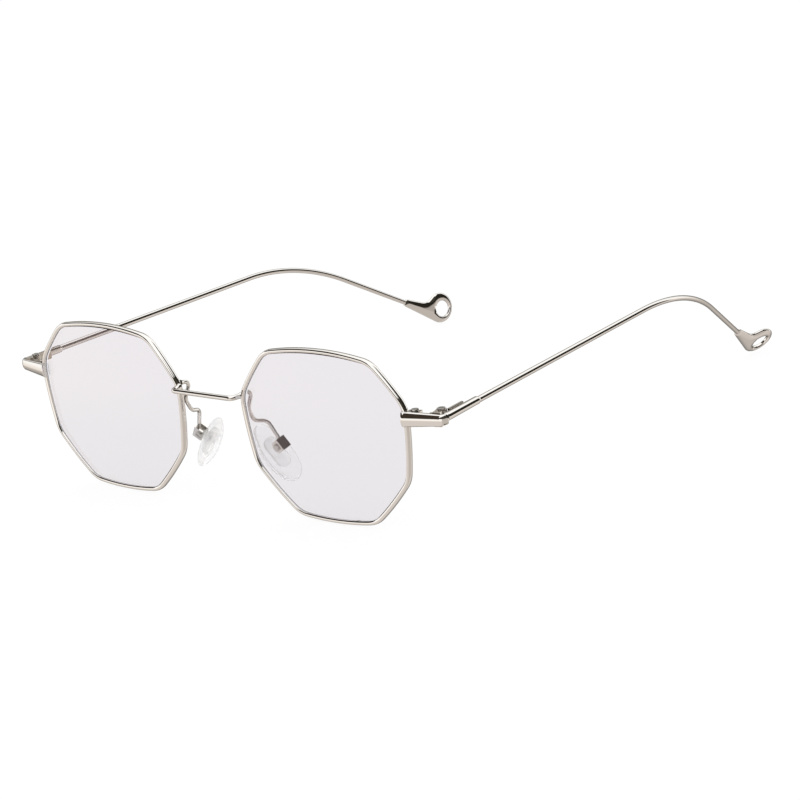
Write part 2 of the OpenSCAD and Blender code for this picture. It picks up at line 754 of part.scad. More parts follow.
// Round-edged drop shape: a wide lower end and a narrower upper end
module pad_end(r, z) {
  edge = pad_t / 2;
  translate([0, 0, z])
    rotate([0, 90, 0])
      rotate_extrude($fn = 32) {
        translate([0, -edge]) square([r - edge, pad_t]);
        translate([r - edge, 0]) intersection() {
          circle(edge, $fn = 16);
          translate([0, -edge]) square([edge, pad_t]);
        }
      }
}
module nose_pad(side) {
  low_r = pad_w / 2;
  top_r = pad_w * 0.4;
  color(PAD)
    on_side(side)
      pad_place()
        difference() {
          hull() {
            pad_end(low_r, low_r - pad_l / 2);
            pad_end(top_r, pad_l / 2 - top_r);
          }
          core_solid();
        }
}

rim("left");  // rim_left
rim("right");  // rim_right
lens("left");  // lens_left
lens("right");  // lens_right
bridge();
end_piece("left");  // end_piece_left
end_piece("right");  // end_piece_right
lock_upper("left");  // lock_upper_left
lock_upper("right");  // lock_upper_right
lock_lower("left");  // lock_lower_left
lock_lower("right");  // lock_lower_right
lock_screw("left");  // lock_screw_left
lock_screw("right");  // lock_screw_right
hinge_front("left");  // hinge_front_left
hinge_front("right");  // hinge_front_right
hinge_rear("left");  // hinge_rear_left
hinge_rear("right");  // hinge_rear_right
hinge_screw("left");  // hinge_screw_left
hinge_screw("right");  // hinge_screw_right
temple_butt("left");  // temple_butt_left
temple_butt("right");  // temple_butt_right
temple_wire("left");  // temple_wire_left
temple_wire("right");  // temple_wire_right
temple_tip("left");  // temple_tip_left
temple_tip("right");  // temple_tip_right
pad_arm("left");  // pad_arm_left
pad_arm("right");  // pad_arm_right
pad_box("left");  // pad_box_left
pad_box("right");  // pad_box_right
pad_screw("left");  // pad_screw_left
pad_screw("right");  // pad_screw_right
nose_pad("left");  // nose_pad_left
nose_pad("right");  // nose_pad_right
pad_core("left");  // pad_core_left
pad_core("right");  // pad_core_right
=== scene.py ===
# %% [markdown]
# # Octagonal wire glasses in polished silver metal
# The real pair is bent and brazed from thin metal wire: two eight-sided rims with clear lenses, a wire
# bridge, two shields at the sides with tiny hinges, long wire temples that end in flat rings, and two
# soft nose pads on looped arms. This lesson loads the CAD model, makes finer versions of the wires,
# lenses and pads over it, and gives each surface the finish of the real material.

# %% Load the CAD model
import json
import math
import bmesh
import bpy
from mathutils import Matrix, Vector

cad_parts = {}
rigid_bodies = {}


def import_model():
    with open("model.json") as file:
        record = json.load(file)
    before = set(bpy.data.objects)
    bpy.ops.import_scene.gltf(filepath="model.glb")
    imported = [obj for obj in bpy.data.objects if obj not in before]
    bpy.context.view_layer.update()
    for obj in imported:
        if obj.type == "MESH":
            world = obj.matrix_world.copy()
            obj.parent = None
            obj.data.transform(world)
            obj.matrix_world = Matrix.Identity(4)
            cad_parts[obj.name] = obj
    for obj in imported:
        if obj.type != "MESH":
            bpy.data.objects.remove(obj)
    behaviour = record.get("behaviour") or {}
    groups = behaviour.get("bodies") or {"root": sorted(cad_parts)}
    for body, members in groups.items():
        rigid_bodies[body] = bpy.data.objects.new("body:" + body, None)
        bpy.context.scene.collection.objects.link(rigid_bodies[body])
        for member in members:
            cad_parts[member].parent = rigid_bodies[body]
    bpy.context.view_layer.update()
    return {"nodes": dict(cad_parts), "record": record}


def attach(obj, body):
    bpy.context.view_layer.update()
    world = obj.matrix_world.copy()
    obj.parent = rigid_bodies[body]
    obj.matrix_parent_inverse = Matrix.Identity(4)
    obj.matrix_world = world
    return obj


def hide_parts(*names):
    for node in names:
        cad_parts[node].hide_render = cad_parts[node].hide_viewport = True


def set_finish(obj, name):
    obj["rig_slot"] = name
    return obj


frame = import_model()

# %% [markdown]
# The sizes below are those of the CAD model, in millimetres, in an upright frame: X to the wearer's
# left, Y back along the temples, Z up, with Y = 0 at the front of the rims. The real pair stands a
# little tilted, on the bottoms of its rims and on its tips, so one matrix sets it down.

# %% Rest on the table
PER_METRE = 1000
REST_TILT, REST_BACK, REST_UP = 0.674276, 70.8929, 20.415
REST = (Matrix.Translation((0, -REST_BACK / PER_METRE, REST_UP / PER_METRE))
        @ Matrix.Rotation(math.radians(REST_TILT), 4, "X"))


def on_table(p, side=1):
    """A point in the upright frame, in millimetres, to metres on the table; side -1 mirrors it."""
    return REST @ (Vector((p[0] * side, p[1], p[2])) / PER_METRE)


print("tilted by", REST_TILT, "degrees")

# %% [markdown]
# One helper turns rows of points into a mesh. Each row is a ring of points round a wire, a rim or a
# pad, and neighbouring rings are joined by quads, which is how a loft or a sweep is made by hand.
# Edges sharper than 40 degrees stay crisp and all the others are shaded smooth.

# %% Rings to a mesh
SIDES = (("left", 1), ("right", -1))
CRISP = math.radians(40)


def loft(name, rings, side, body, slot, nodes, closed=False):
    """A closed loft comes back to its first ring, and an open one gets a face at each end."""
    count = len(rings[0])
    points = [on_table(p, side) for ring in rings for p in ring]
    faces = []
    for i in range(len(rings) - (0 if closed else 1)):
        a, b = i * count, ((i + 1) % len(rings)) * count
        for j in range(count):
            k = (j + 1) % count
            faces.append((a + j, a + k, b + k, b + j))
    if not closed:
        faces.append(tuple(range(count))[::-1])
        faces.append(tuple(range((len(rings) - 1) * count, len(rings) * count)))
    if side < 0:
        faces = [f[::-1] for f in faces]
    mesh = bpy.data.meshes.new(name)
    mesh.from_pydata(points, [], faces)
    mesh.validate()
    mesh.polygons.foreach_set("use_smooth", [True] * len(mesh.polygons))
    mesh.set_sharp_from_angle(angle=CRISP)
    piece = bpy.data.objects.new(name, mesh)
    bpy.context.scene.collection.objects.link(piece)
    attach(piece, body)
    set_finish(piece, slot)
    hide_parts(*nodes)
    return piece


def rounded(half_a, half_b, power, count):
    """A closed outline between an ellipse (power 2) and a box (a high power)."""
    out = []
    for j in range(count):
        t = 2 * math.pi * j / count
        c, s = math.cos(t), math.sin(t)
        a = half_a * math.copysign(abs(c) ** (2 / power), c)
        b = half_b * math.copysign(abs(s) ** (2 / power), s)
        out.append((a, b))
    return out


# %% [markdown]
# A wire is a round section carried along a path. Bending wire over a peg leaves straight lengths
# joined by arcs, so the path's corners are replaced by arcs, and the section is turned as little as
# possible from point to point, which keeps the mesh from twisting. Where a wire is brazed on, the
# braze metal leaves a small fillet, so the wire swells a little towards that end.

# %% Bent wire
ARC_SHARE = 0.48  # the most of a straight length that one arc takes, so two arcs never meet
PATH_GAP = 0.25  # the most, in mm, from ring to ring on the bridge and the pad arms
BRAZE = 0.2  # how many mm the braze metal adds to a wire's radius at its end


def fillet(corners, radius, steps):
    """A path whose corners are arcs of this radius, or smaller where a length is short."""
    corners = [Vector(c) for c in corners]
    path = [corners[0]]
    for i in range(1, len(corners) - 1):
        a, p, b = corners[i - 1], corners[i], corners[i + 1]
        u, v = (p - a).normalized(), (b - p).normalized()
        angle = u.angle(v)
        most = ARC_SHARE * min((p - a).length, (b - p).length)
        trim = min(radius * math.tan(angle / 2), most)
        r = trim / math.tan(angle / 2)
        inward = (v - u * u.dot(v)).normalized()
        centre = p - u * trim + inward * r
        for k in range(steps + 1):
            t = angle * k / steps
            path.append(centre + u * r * math.sin(t) - inward * r * math.cos(t))
    path.append(corners[-1])
    return path


def wire_rings(path, radii, count):
    """radii holds one radius for each point of the path."""
    rings = []
    tangent = (path[1] - path[0]).normalized()
    up = tangent.orthogonal().normalized()
    for i, p in enumerate(path):
        ahead = path[min(i + 1, len(path) - 1)] - path[max(i - 1, 0)]
        turned = ahead.normalized()
        up = tangent.rotation_difference(turned) @ up
        up = (up - turned * up.dot(turned)).normalized()
        tangent = turned
        across = tangent.cross(up)
        rings.append([p + (up * math.cos(t) + across * math.sin(t)) * radii[i]
                      for t in (2 * math.pi * j / count for j in range(count))])
    return rings


def even(path, gap):
    """The same path with points no further apart than gap."""
    out = [path[0]]
    for a, b in zip(path, path[1:]):
        n = max(1, math.ceil((b - a).length / gap))
        out += [a.lerp(b, k / n) for k in range(1, n + 1)]
    return out


def brazed(radius, distance, reach):
    """A wire's radius at a distance from its brazed end; the fillet is gone at reach."""
    return radius + BRAZE * max(0, 1 - distance / reach) ** 2


# %% [markdown]
# Each rim is an octagon with bowed sides and rounded corners. Its outline is made of sixteen arcs
# that run into each other: a corner's arc touches both sides from inside. The centres follow from
# the corner points, so the same few sizes give the rim, its groove and the lens inside it.

# %% Rim outline
RIM = dict(w=49, low_w=45.2, top_w=31.4, bottom_w=22.8, top_z=19.2, bottom_z=19.6, upper_z=8.8,
           drop=1.3, lower_z=8.4, bow=80, corner=7.4, t=1.0, depth=1.6, gap=19.6, wrap=2.3)
CORNER_STEPS, SIDE_STEPS = 10, 12
rim_cx = RIM["gap"] / 2 + RIM["w"] / 2
wrap_x = RIM["gap"] / 2 + RIM["t"]
CORNERS = [Vector(c) for c in (
    (-RIM["top_w"] / 2, RIM["top_z"]), (RIM["top_w"] / 2, RIM["top_z"]),
    (RIM["w"] / 2, RIM["upper_z"] + RIM["drop"] / 2), (RIM["low_w"] / 2, -RIM["lower_z"]),
    (RIM["bottom_w"] / 2, -RIM["bottom_z"]), (-RIM["bottom_w"] / 2, -RIM["bottom_z"]),
    (-RIM["low_w"] / 2, -RIM["lower_z"]), (-RIM["w"] / 2, RIM["upper_z"] - RIM["drop"] / 2))]


def heading(angle):
    return Vector((math.cos(angle), math.sin(angle)))


def angle_of(v):
    return math.atan2(v.y, v.x)


def side_centre(i):
    a, b = CORNERS[i % 8], CORNERS[(i + 1) % 8]
    along = (b - a).normalized()
    inward = math.sqrt(RIM["bow"] ** 2 - (b - a).length_squared / 4)
    return (a + b) / 2 - Vector((-along.y, along.x)) * inward


def corner_centre(i):
    a, b = side_centre(i - 1), side_centre(i)
    middle, along = (a + b) / 2, (b - a).normalized()
    reach = math.sqrt((RIM["bow"] - RIM["corner"]) ** 2 - (b - a).length_squared / 4)
    across = Vector((-along.y, along.x))
    return middle + across * math.copysign(reach, across.dot(CORNERS[i % 8] - middle))


def arc_run(centre, radius, start, end, steps):
    """Points and outward directions, clockwise from start to end."""
    a = angle_of(start - centre)
    span = (a - angle_of(end - centre)) % (2 * math.pi)
    out = []
    for k in range(steps):
        outward = heading(a - span * k / steps)
        out.append((centre + outward * radius, outward))
    return out


OUTLINE = []
for i in range(8):
    k0, c0, c1, k1 = corner_centre(i), side_centre(i - 1), side_centre(i), corner_centre(i + 1)
    first = c0 + (k0 - c0).normalized() * RIM["bow"]
    last = c1 + (k0 - c1).normalized() * RIM["bow"]
    beyond = c1 + (k1 - c1).normalized() * RIM["bow"]
    OUTLINE += arc_run(k0, RIM["corner"], first, last, CORNER_STEPS)
    OUTLINE += arc_run(c1, RIM["bow"], last, beyond, SIDE_STEPS)
WRAP = Matrix.Rotation(math.radians(RIM["wrap"]), 3, "Z")


def on_rim(p, depth):
    """A point of the rim's plane, and how far behind its front face, in the upright frame."""
    return WRAP @ Vector((rim_cx - wrap_x + p.x, depth, p.y)) + Vector((wrap_x, 0, 0))


print("rim outline points", len(OUTLINE))

# %% [markdown]
# The rim wire is drawn through a die, so its section has soft edges and a slightly crowned outer
# face, and a groove on the inside that grips the lens. The section is swept once round the outline.

# %% Rims
SOFT = 0.43  # radius of the section's edges
EDGE_POINTS = 6
GROOVE_W, GROOVE_D = 0.5, 0.35
# The crowned outer face: how far inward, so below zero is outward, and the share of the depth.
RIM_CROWN = ((-0.05, 0.62), (-0.07, 0.5), (-0.05, 0.38))


def edge_arc(x, y, start):
    """A quarter turn round one edge of the section, from a start angle in degrees."""
    angles = [math.radians(start + 90 / (EDGE_POINTS - 1) * k) for k in range(EDGE_POINTS)]
    return [(x + SOFT * math.cos(a), y + SOFT * math.sin(a)) for a in angles]


def rim_section():
    """Pairs of (how far inward, how far back), once round the wire."""
    t, d = RIM["t"], RIM["depth"]
    g0, g1 = (d - GROOVE_W) / 2, (d + GROOVE_W) / 2
    pts = edge_arc(SOFT, SOFT, 180) + edge_arc(t - SOFT, SOFT, 270)
    pts += [(t, g0), (t - GROOVE_D, g0), (t - GROOVE_D, g1), (t, g1)]
    pts += edge_arc(t - SOFT, d - SOFT, 0) + edge_arc(SOFT, d - SOFT, 90)
    pts += [(out, d * share) for out, share in RIM_CROWN]
    return pts


SECTION = rim_section()
for name, side in SIDES:
    rings = [[on_rim(p - n * inward, back) for inward, back in SECTION] for p, n in OUTLINE]
    rim = loft("rim_wire_" + name, rings, side, "front", "frame_metal", ["rim_" + name], closed=True)
    print(name, "rim mesh faces", len(rim.data.polygons))

# %% [markdown]
# The lenses are taken to be clear plastic, ground to a shallow sphere and edged with a thin bevel
# that sits in the rim's groove. Rings from the middle outward follow the rim's own outline, so the
# lens fills the rim with 0.05 mm of play.

# %% Lenses
LENS = dict(t=1.5, r=260, play=0.05)
LENS_SHARES = (0.02, 0.15, 0.3, 0.45, 0.6, 0.75, 0.87, 0.95, 1)  # each ring's size, middle to edge


def lens_rings():
    edge = RIM["t"] + LENS["play"]
    crown = LENS["r"] - math.sqrt(LENS["r"] ** 2 - RIM["top_z"] ** 2)
    middle = crown - RIM["depth"] / 2 + LENS["t"] / 2 - LENS["r"]
    tongue = GROOVE_W / 2 - LENS["play"]

    def face_ring(share, thin):
        points = [(p - n * edge) * share for p, n in OUTLINE]
        radius = LENS["r"] - thin
        return [on_rim(p, -(middle + math.sqrt(radius ** 2 - p.length_squared))) for p in points]

    rings = [face_ring(share, 0) for share in LENS_SHARES]
    tip = edge - GROOVE_D
    for inset, back in ((edge, -tongue), (tip, -tongue), (tip, tongue), (edge, tongue)):
        rings.append([on_rim(p - n * inset, RIM["depth"] / 2 + back) for p, n in OUTLINE])
    rings += [face_ring(share, LENS["t"]) for share in LENS_SHARES[::-1]]
    return rings


for name, side in SIDES:
    loft("lens_" + name + "_ground", lens_rings(), side, "front", "lens_clear", ["lens_" + name])
print("lens rings", len(lens_rings()))

# %% [markdown]
# The bridge is one wire that runs straight across in front of the rims, turns back at both ends round
# a short bend and is brazed to the rims' fronts. Its ends lie a little inside the rims.

# %% Bridge
BRIDGE = dict(d=1.2, z=7.8, forward=2.3, middle=19, bend=1.3, steps=14, braze=1.1)
WIRE_POINTS = 28  # points round the bridge and the temple wires
# The ends lie inside the rim's wire, 0.3 of its width in and a third of its depth back.
end_x, end_y = RIM["gap"] / 2 + RIM["t"] * 0.3, RIM["depth"] / 3
corners = [(-end_x, end_y, BRIDGE["z"]), (-BRIDGE["middle"] / 2, -BRIDGE["forward"], BRIDGE["z"]),
           (BRIDGE["middle"] / 2, -BRIDGE["forward"], BRIDGE["z"]), (end_x, end_y, BRIDGE["z"])]
path = even(fillet(corners, BRIDGE["bend"], BRIDGE["steps"]), PATH_GAP)
from_end = [min((p - path[0]).length, (p - path[-1]).length) for p in path]
radii = [brazed(BRIDGE["d"] / 2, distance, BRIDGE["braze"]) for distance in from_end]
loft("bridge_wire", wire_rings(path, radii, WIRE_POINTS), 1, "front", "frame_metal", ["bridge"])
print("bridge length", round(sum((b - a).length for a, b in zip(path, path[1:])), 1), "mm")

# %% [markdown]
# The end piece is a crowned bar, pressed from strip, that is brazed over the front of the rim. It
# sweeps back from there, turns round a small radius to meet the temple, and gets lower on the way.
# One section with a rounded front and a flat back is lofted along that bent path. Over the rim the
# back is thinner, because the rim lies in a step there.

# %% End piece path
END = dict(z=6.7, root_h=3.7, tip_h=2.7, t=1.2, reach=9.7, bend=1.9, sweep=14, proud=0.7, crown=3.2)
JOINT = dict(h=1.9, rise=0.4)
i_side = side_centre(1 if END["z"] > CORNERS[2].y else 2)
side_x = rim_cx + i_side.x + math.sqrt(RIM["bow"] ** 2 - (END["z"] - i_side.y) ** 2)
root_x = wrap_x + (side_x - wrap_x) * math.cos(math.radians(RIM["wrap"]))
root_y = (side_x - wrap_x) * math.sin(math.radians(RIM["wrap"]))
out_x = root_x + END["reach"]
sweep = math.radians(END["sweep"])
bar_dir = Vector((math.cos(sweep), math.sin(sweep), 0))
bar_out = Vector((math.sin(sweep), -math.cos(sweep), 0))
bar_l = (END["reach"] - END["bend"] * (1 - math.sin(sweep))) / math.cos(sweep)
bar_start = Vector((root_x, root_y - END["proud"], 0))
bend_centre = bar_start + bar_dir * bar_l - bar_out * END["bend"]
back_y = bend_centre.y
print("end piece reaches x", round(out_x, 2), "and ends at y", round(back_y, 2), "mm")

# %% [markdown]
# The section is a squared ellipse with its front bent to a crown and its back cut flat. Each station
# along the path has its own height and thickness: thin and rounded off over the rim, full along the
# bar, and as high as the start of the temple where the bend ends.

# %% End piece section and loft
CROWNED_POWER, CROWNED_POINTS = 5, 40
BAR_STEPS, BEND_STEPS = 12, 16
# Sections over the rim: how far along the bar, how much thinner than the room in the step, and the
# height as a share of the full one, which rounds off the end. At STEP_AT the full thickness starts.
OVER_RIM = [(-1.0, 0.06, 0.84), (-0.96, 0, 0.93), (-0.86, 0, 0.985), (-0.74, 0, 1), (-0.4, 0, 1)]
STEP_AT = -0.36
LAST_SIZE = 0.97  # the last section's height, in the same way
LOWER_SINKS = 0.5  # mm that a section lies deeper, times the share by which it is lower
BACK_SHARE = 0.3  # further back than this share of the thickness there is no crown
# About the sine and cosine of the 11.7 degrees between the bar and the rims' plane.
LEAN_SIN, LEAN_COS = 0.2029, 0.98


def crowned(low, high, thick, radius):
    """(how far behind the crown, up) pairs: a crowned front, a flat back and soft edges."""
    middle, half = (low + high) / 2, (high - low) / 2
    pts = []
    for a, b in rounded(thick / 2, half, CROWNED_POWER, CROWNED_POINTS):
        up = middle + b
        crown = radius - math.sqrt(max(radius * radius - up * up, 0)) if a > -thick * BACK_SHARE else 0
        pts.append((min(thick / 2 - a + crown, thick), up))
    return pts


def end_piece_rings():
    bend_x = out_x - END["bend"] * (1 - math.sin(sweep))
    rim_inner = root_x - RIM["t"] - 1  # the height starts to change 1 mm inward of the rim

    def station(p, outward, thick, shrink=1.0):
        share = (p.x - rim_inner) / (bend_x - rim_inner)
        half = END["root_h"] / 2 + (END["tip_h"] - END["root_h"]) / 2 * min(share, 1)
        into_bend = max(0, (p.x - bend_x) / (out_x - bend_x))
        high = half + (JOINT["rise"] + JOINT["h"] / 2 - half) * into_bend
        low = -half + (JOINT["rise"] - JOINT["h"] / 2 + half) * into_bend
        ring = []
        for behind, up in crowned(low * shrink, high * shrink, thick, END["crown"]):
            deep = behind + (1 - shrink) * LOWER_SINKS
            ring.append(p - outward * deep + Vector((0, 0, END["z"] + up)))
        return ring

    rings = []
    for t, thinner, size in OVER_RIM:
        thick = (END["proud"] - LEAN_SIN * t) / LEAN_COS - thinner
        rings.append(station(bar_start + bar_dir * t, bar_out, thick, size))
    rings.append(station(bar_start + bar_dir * STEP_AT, bar_out, END["t"]))
    for k in range(BAR_STEPS + 1):
        rings.append(station(bar_start + bar_dir * bar_l * k / BAR_STEPS, bar_out, END["t"]))
    for k in range(1, BEND_STEPS + 1):
        t = sweep + (math.pi / 2 - sweep) * k / BEND_STEPS
        outward = Vector((math.sin(t), -math.cos(t), 0))
        size = 1 if k < BEND_STEPS else LAST_SIZE
        rings.append(station(bend_centre + outward * END["bend"], outward, END["t"], size))
    return rings


for name, side in SIDES:
    loft("end_piece_" + name + "_shield", end_piece_rings(), side, "front", "frame_metal",
         ["end_piece_" + name])
print("end piece rings", len(end_piece_rings()))

# %% [markdown]
# Behind the end piece each temple starts with a thicker crowned length that carries the hinge plate,
# and steps down to the round wire, which is drawn a little thinner towards its tip. The wire runs
# back, bends down over the ear on a wide radius, and leans in towards the head. The two temples
# differ a little in the photograph, which is taken to be hand bending, so each has its own slope.

# %% Temple frames
TEMPLE = dict(butt_t=1.6, butt_l=11.4, gap=0.1, inward=2.5, rise=0.5, crown=1.6,
              wire_front=1.46, wire_back=1.2, straight=75.5, ear_r=54.5, drop=20.2, lean=22, start=0.7)
BY_HAND = {1: dict(down=-0.9, ear=38, twist=24), -1: dict(down=0.8, ear=34, twist=-17)}
temple_at = Vector((out_x - TEMPLE["butt_t"] / 2, back_y + TEMPLE["gap"], END["z"]))


def turn(degrees, axis):
    return Matrix.Rotation(math.radians(degrees), 3, axis)


def on_temple(p, side):
    return turn(TEMPLE["inward"], "Z") @ turn(-BY_HAND[side]["down"], "X") @ Vector(p) + temple_at


def wire_end(side):
    ear, r = math.radians(BY_HAND[side]["ear"]), TEMPLE["ear_r"]
    return Vector((0, TEMPLE["straight"] + r * math.sin(ear) + TEMPLE["drop"] * math.cos(ear),
                   -r * (1 - math.cos(ear)) - TEMPLE["drop"] * math.sin(ear)))


print("temples start at", [round(c, 2) for c in temple_at])

# %% [markdown]
# The thick end is flat on the inner side, where the hinge plate is brazed on, and crowned outside.
# It starts as high as the end piece is there, gets a little lower on the way, and closes on the wire
# with a short neck.

# %% Thick front end of the temple
BUTT_POWER, BUTT_POINTS, BUTT_STEPS = 3.2, 36, 20
OVER_WIRE = 0.14  # how far the thick end passes the wire, above and below, where it comes out
CROWNED_FROM = -0.3  # mm across from the middle; further in, the inner side stays flat
NECK_L = 0.18  # from the thick end to the bare wire


def butt_rings(side):
    stations = [(0, 0.93), (0.012, 1)] + [(k / BUTT_STEPS, 1) for k in range(1, BUTT_STEPS)]
    stations += [(0.985, 1), (1, 0.95)]
    wire_r, thick, crown_r = TEMPLE["wire_front"] / 2, TEMPLE["butt_t"], TEMPLE["crown"]
    rings = []
    for s, shrink in stations:
        half = (JOINT["h"] / 2 + (wire_r + OVER_WIRE - JOINT["h"] / 2) * s) * shrink
        middle = JOINT["rise"] + (TEMPLE["rise"] - JOINT["rise"]) * s
        ring = []
        for a, b in rounded(thick / 2 * shrink, half, BUTT_POWER, BUTT_POINTS):
            crown = crown_r - math.sqrt(crown_r ** 2 - b * b) if a > CROWNED_FROM else 0
            across = max(a - crown, -thick / 2)
            ring.append(on_temple((across, TEMPLE["butt_l"] * s, middle + b), side))
        rings.append(ring)
    neck = rounded(wire_r, wire_r, 2, BUTT_POINTS)
    neck_y = TEMPLE["butt_l"] + NECK_L
    rings.append([on_temple((a, neck_y, TEMPLE["rise"] + b), side) for a, b in neck])
    return rings


print("thick end rings", len(butt_rings(1)))

# %% [markdown]
# The wire starts inside the thick end, so no gap can show between them. It runs straight to the ear,
# round an arc, and straight again to the tip. Its radius falls by the same amount from each point
# to the next. The thick end and the wire of each temple are made here together.

# %% Temple wire
STRAIGHT_STEPS, EAR_STEPS, DROP_STEPS = 40, 48, 12


def temple_path(side):
    ear, r = math.radians(BY_HAND[side]["ear"]), TEMPLE["ear_r"]
    first = TEMPLE["butt_l"] * TEMPLE["start"]
    run = TEMPLE["straight"] - first
    path = [Vector((0, first + run * k / STRAIGHT_STEPS, 0)) for k in range(STRAIGHT_STEPS + 1)]
    for k in range(1, EAR_STEPS + 1):
        t = ear * k / EAR_STEPS
        path.append(Vector((0, TEMPLE["straight"] + r * math.sin(t), -r * (1 - math.cos(t)))))
    path += [path[-1].lerp(wire_end(side), k / DROP_STEPS) for k in range(1, DROP_STEPS + 1)]
    lean, rise = turn(TEMPLE["lean"], "Y"), Vector((0, 0, TEMPLE["rise"]))
    return [on_temple(lean @ p + rise, side) for p in path]


taper = TEMPLE["wire_back"] - TEMPLE["wire_front"]
for name, side in SIDES:
    path = temple_path(side)
    radii = [(TEMPLE["wire_front"] + taper * k / (len(path) - 1)) / 2 for k in range(len(path))]
    loft("temple_butt_" + name + "_metal", butt_rings(side), side, "temple_" + name, "frame_metal",
         ["temple_butt_" + name])
    loft("temple_wire_" + name + "_metal", wire_rings(path, radii, WIRE_POINTS), side,
         "temple_" + name, "frame_metal", ["temple_wire_" + name])
    print(name, "wire ends at", [round(c, 2) for c in path[-1]])

# %% [markdown]
# The temples end in flat tips with a round hole. They are taken to be struck from thicker metal and
# tumbled until all edges are round, like a pebble, so a box with a small bevel would look wrong. The
# outline comes first: a straight top, a filled corner, the ring and a straight sole.

# %% Outline of a tip
TIP = dict(t=1.3, ring_r=4.0, hole_r=2.15, u=11.6, shift=0.8, v=2.1, neck=1.9, flare=8, instep=3.0,
           turn=-1, soft=1.25, hole_soft=0.5)
COLLAR_STEPS, INSTEP_STEPS, SOLE_STEPS, RING_STEPS = 10, 14, 22, 56
ring_c, hole_c = Vector((TIP["u"], TIP["v"])), Vector((TIP["u"] + TIP["shift"], TIP["v"]))


def arc_points(centre, radius, start, end, steps):
    """Points on the shorter arc from start to end, both on the circle."""
    a = angle_of(start - centre)
    span = (angle_of(end - centre) - a + math.pi) % (2 * math.pi) - math.pi
    return [centre + heading(a + span * k / steps) * radius for k in range(steps + 1)]


def tip_outline():
    heel, collar = Vector((0, -TIP["neck"] / 2)), Vector((0, TIP["neck"] / 2))
    far = (ring_c - heel).length
    slope = angle_of(ring_c - heel) - math.asin(TIP["ring_r"] / far)
    sole = heel + heading(slope) * math.sqrt(far ** 2 - TIP["ring_r"] ** 2)
    flare = math.radians(TIP["flare"])
    run, rise = heading(flare), Vector((-math.sin(flare), math.cos(flare)))
    up = TIP["instep"] - (ring_c - collar).dot(rise)
    along = (ring_c - collar).dot(run) - math.sqrt((TIP["ring_r"] + TIP["instep"]) ** 2 - up * up)
    fill = collar + run * along + rise * TIP["instep"]
    touch = ring_c + (fill - ring_c).normalized() * TIP["ring_r"]
    top = [collar.lerp(collar + run * along, k / COLLAR_STEPS) for k in range(COLLAR_STEPS)]
    top += arc_points(fill, TIP["instep"], collar + run * along, touch, INSTEP_STEPS)
    bottom = [sole.lerp(heel, k / SOLE_STEPS) for k in range(1, SOLE_STEPS + 1)]
    a = angle_of(touch - ring_c)
    span = (a - angle_of(sole - ring_c)) % (2 * math.pi)
    ring = [ring_c + heading(a - span * k / RING_STEPS) * TIP["ring_r"]
            for k in range(1, RING_STEPS + 1)]
    return top, ring, bottom


print("tip outline points", sum(len(run) for run in tip_outline()))

# %% [markdown]
# The surface is laid out as strips that run from the outline to a middle line or to the hole. The
# thickness at each point rises like a quarter circle with its distance from the outline and from
# the hole, so the faces and the round edges are one smooth skin.

# %% Surface of a tip
STRIP_STEPS = 9
SPINE_START = 0.5  # how far inside the heel the middle line starts
SAME_POINT = 2e-6  # in metres, nearer points than this are one
TINY = 1e-9  # keeps an edge of no length from dividing by zero


def tip_mesh(name, side, body):
    top, ring, bottom = tip_outline()
    outline = top + ring + bottom
    spine_end = hole_c.x - TIP["hole_r"]
    inner = []
    for k, p in enumerate(outline):
        if k < len(top) or k >= len(top) + len(ring):
            share = k / (len(top) - 1) if k < len(top) else (len(outline) - 1 - k) / len(bottom)
            share = min(share, 1)
            inner.append(Vector((SPINE_START + (spine_end - SPINE_START) * share, hole_c.y * share)))
        else:
            a = math.pi - 2 * math.pi * (k - len(top) + 1) / len(ring)
            inner.append(hole_c + heading(a) * TIP["hole_r"])

    def near_outline(p):
        gaps = []
        for q, r in zip(outline, outline[1:] + outline[:1]):
            edge = r - q
            t = max(0, min(1, (p - q).dot(edge) / max(edge.length_squared, TINY)))
            gaps.append((q + edge * t - p).length)
        return min(gaps)

    def swell(distance, soft):
        x = min(distance / soft, 1)
        return math.sqrt(max(0, 1 - (1 - x) ** 2))

    rows = []
    for p, q in zip(outline, inner):
        row = []
        for k in range(STRIP_STEPS + 1):
            w = k / STRIP_STEPS
            w = w * w * (3 - 2 * w)
            c = p.lerp(q, w)
            from_outline = swell(near_outline(c), TIP["soft"])
            from_hole = swell((c - hole_c).length - TIP["hole_r"], TIP["hole_soft"])
            row.append((c, TIP["t"] / 2 * from_outline * from_hole))
        rows.append(row)

    by_hand, rise = BY_HAND[side], Vector((0, 0, TEMPLE["rise"]))
    bent = turn(-by_hand["ear"], "X") @ turn(by_hand["twist"], "Y") @ turn(TIP["turn"], "Z")

    def place(c, x):
        p = turn(TEMPLE["lean"], "Y") @ (wire_end(side) + bent @ Vector((x, c.x, c.y)))
        return on_table(on_temple(p + rise, side), side)

    made = bmesh.new()
    grid = {(s, i, k): made.verts.new(place(c, s * h))
            for s in (-1, 1) for i, row in enumerate(rows) for k, (c, h) in enumerate(row)}
    for s in (-1, 1):
        for i in range(len(rows)):
            j = (i + 1) % len(rows)
            for k in range(STRIP_STEPS):
                quad = [grid[s, i, k], grid[s, j, k], grid[s, j, k + 1], grid[s, i, k + 1]]
                made.faces.new(quad if s > 0 else quad[::-1])
    bmesh.ops.remove_doubles(made, verts=made.verts, dist=SAME_POINT)
    bmesh.ops.recalc_face_normals(made, faces=made.faces)
    mesh = bpy.data.meshes.new(name)
    made.to_mesh(mesh)
    made.free()
    mesh.polygons.foreach_set("use_smooth", [True] * len(mesh.polygons))
    piece = bpy.data.objects.new(name, mesh)
    bpy.context.scene.collection.objects.link(piece)
    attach(piece, body)
    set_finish(piece, "frame_metal")
    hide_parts(body.replace("temple_", "temple_tip_"))
    print(name, "faces", len(mesh.polygons))


